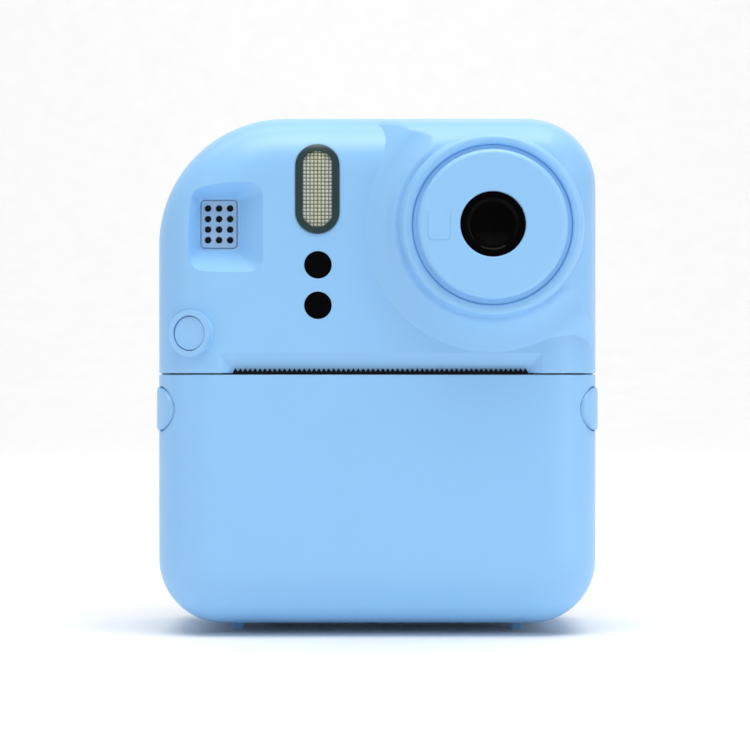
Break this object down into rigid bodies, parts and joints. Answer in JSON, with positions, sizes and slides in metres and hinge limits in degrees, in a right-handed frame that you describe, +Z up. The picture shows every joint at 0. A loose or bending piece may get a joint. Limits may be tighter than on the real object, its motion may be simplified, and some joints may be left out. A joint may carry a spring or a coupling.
{
  "type": "kids digital camera",
  "caption": "Toy digital camera with an offset round lens, oval flash, round-cornered case, rear screen and a thermal printer behind a hinged paper door.",
  "frame": {"origin": "on the table plane, under the middle of the object's bounding box", "axes": "+Z up, the lens looks along -Y, +X to the right seen from the front"},
  "size_m": [0.0882, 0.054, 0.1027],
  "materials": {
    "shell_blue": "satin moulded",
    "disc_blue": "satin moulded",
    "grille_blue": "fine matt",
    "key_blue": "satin moulded",
    "window_black": "polished",
    "lens_black": "polished",
    "bezel_black": "satin",
    "clear_plastic": "prismatic",
    "black_plastic": "fine matt",
    "frame_plastic": "fine matt",
    "gear_white": "moulded",
    "led_yellow": "phosphor",
    "pcb_green": "solder mask",
    "chip_black": "moulded",
    "steel": "brushed",
    "blackened_steel": "blackened",
    "aluminium": "stamped",
    "brass": "sintered",
    "roller_rubber": "ground",
    "ceramic_head": "glazed strip",
    "paper": "smooth",
    "core_plastic": "moulded",
    "battery_foil": "foil",
    "display": "polished"
  },
  "bodies": {
    "case": {"front_shell": "shell_blue", "rear_shell": "shell_blue", "door_hinge_pins": "steel", "lens_face_disc": "disc_blue", "lens_window": "lens_black", "lens_holder": "black_plastic", "front_camera_module": "black_plastic", "flash_bezel": "bezel_black", "flash_lens": "clear_plastic", "flash_board": "ceramic_head", "flash_leds": "led_yellow", "upper_sensor_window": "window_black", "lower_sensor_window": "window_black", "sensor_board": "pcb_green", "speaker_grille": "grille_blue", "speaker": "black_plastic", "shutter_switch": "black_plastic", "gear_pins": "steel", "stepper_motor": "steel", "print_head": "ceramic_head", "head_bracket": "aluminium", "head_springs": "steel", "printer_frame": "frame_plastic", "keypad_board": "pcb_green", "key_switches": "black_plastic", "screen_window": "window_black", "lcd_panel": "display", "rear_lens_window": "window_black", "rear_camera_module": "black_plastic", "usb_socket": "steel", "card_socket": "steel", "main_board": "pcb_green", "main_chips": "chip_black", "battery": "battery_foil", "screws": "steel"},
    "door": {"paper_door": "shell_blue", "tear_blade": "blackened_steel", "platen_bushes": "brass", "release_spring_right": "steel", "release_spring_left": "steel"},
    "right_release": {"release_button_right": "shell_blue"},
    "left_release": {"release_button_left": "shell_blue"},
    "platen": {"platen_shaft": "steel", "platen_roller": "roller_rubber", "platen_gear": "gear_white"},
    "idler": {"idler_gear": "gear_white"},
    "reduction": {"reduction_gear": "gear_white"},
    "rotor": {"motor_shaft": "steel", "motor_pinion": "brass"},
    "roll": {"paper_roll": "paper", "paper_core": "core_plastic"},
    "shutter": {"shutter_button": "shell_blue"},
    "key_up": {"key_up": "key_blue"},
    "key_right": {"key_right": "key_blue"},
    "key_down": {"key_down": "key_blue"},
    "key_left": {"key_left": "key_blue"},
    "key_ok": {"key_ok": "key_blue"},
    "key_power": {"key_power": "key_blue"},
    "key_play": {"key_play": "key_blue"},
    "key_print": {"key_print": "key_blue"}
  },
  "joints": [
    {"name": "roll_spin", "type": "hinge", "parent": "case", "child": "roll", "pos_m": [0, 0.003, 0.023], "axis": [1, 0, 0], "continuous": true},
    {"name": "door_hinge", "type": "hinge", "parent": "case", "child": "door", "pos_m": [0, -0.0065, 0.0066], "axis": [1, 0, 0], "range_deg": [0, 48]},
    {"name": "platen_spin", "type": "hinge", "parent": "door", "child": "platen", "pos_m": [0, -0.0085, 0.046], "axis": [1, 0, 0], "continuous": true},
    {"name": "idler_spin", "type": "hinge", "parent": "case", "child": "idler", "pos_m": [0.0335, 0.0033, 0.0417], "axis": [1, 0, 0], "continuous": true},
    {"name": "reduction_spin", "type": "hinge", "parent": "case", "child": "reduction", "pos_m": [0.035, 0.01009, 0.04979], "axis": [1, 0, 0], "continuous": true},
    {"name": "rotor_spin", "type": "hinge", "parent": "case", "child": "rotor", "pos_m": [0.035, 0.00356, 0.0611], "axis": [1, 0, 0], "continuous": true},
    {"name": "right_release_push", "type": "slide", "parent": "door", "child": "right_release", "axis": [-1, 0, 0], "range_m": [0, 0.001], "stiffness_N_per_m": 600, "springref_m": -0.0008, "deforming": ["release_spring_right"]},
    {"name": "left_release_push", "type": "slide", "parent": "door", "child": "left_release", "axis": [1, 0, 0], "range_m": [0, 0.001], "stiffness_N_per_m": 600, "springref_m": -0.0008, "deforming": ["release_spring_left"]},
    {"name": "shutter_push", "type": "slide", "parent": "case", "child": "shutter", "axis": [0.3907, 0.9205, 0], "range_m": [0, 0.0008], "stiffness_N_per_m": 500, "springref_m": -0.0004},
    {"name": "key_up_push", "type": "slide", "parent": "case", "child": "key_up", "axis": [0, -1, 0], "range_m": [0, 0.0005], "stiffness_N_per_m": 500, "springref_m": -0.0003},
    {"name": "key_right_push", "type": "slide", "parent": "case", "child": "key_right", "axis": [0, -1, 0], "range_m": [0, 0.0005], "stiffness_N_per_m": 500, "springref_m": -0.0003},
    {"name": "key_down_push", "type": "slide", "parent": "case", "child": "key_down", "axis": [0, -1, 0], "range_m": [0, 0.0005], "stiffness_N_per_m": 500, "springref_m": -0.0003},
    {"name": "key_left_push", "type": "slide", "parent": "case", "child": "key_left", "axis": [0, -1, 0], "range_m": [0, 0.0005], "stiffness_N_per_m": 500, "springref_m": -0.0003},
    {"name": "key_ok_push", "type": "slide", "parent": "case", "child": "key_ok", "axis": [0, -1, 0], "range_m": [0, 0.0005], "stiffness_N_per_m": 500, "springref_m": -0.0003},
    {"name": "key_power_push", "type": "slide", "parent": "case", "child": "key_power", "axis": [0, -1, 0], "range_m": [0, 0.0005], "stiffness_N_per_m": 500, "springref_m": -0.0003},
    {"name": "key_play_push", "type": "slide", "parent": "case", "child": "key_play", "axis": [0, -1, 0], "range_m": [0, 0.0005], "stiffness_N_per_m": 500, "springref_m": -0.0003},
    {"name": "key_print_push", "type": "slide", "parent": "case", "child": "key_print", "axis": [0, -1, 0], "range_m": [0, 0.0005], "stiffness_N_per_m": 500, "springref_m": -0.0003}
  ],
  "couplings": [
    {"joint": "platen_spin", "follows": "roll_spin", "ratio": -3.125},
    {"joint": "idler_spin", "follows": "roll_spin", "ratio": 2.4554},
    {"joint": "reduction_spin", "follows": "roll_spin", "ratio": -4.9107},
    {"joint": "rotor_spin", "follows": "roll_spin", "ratio": 16.369}
  ]
}
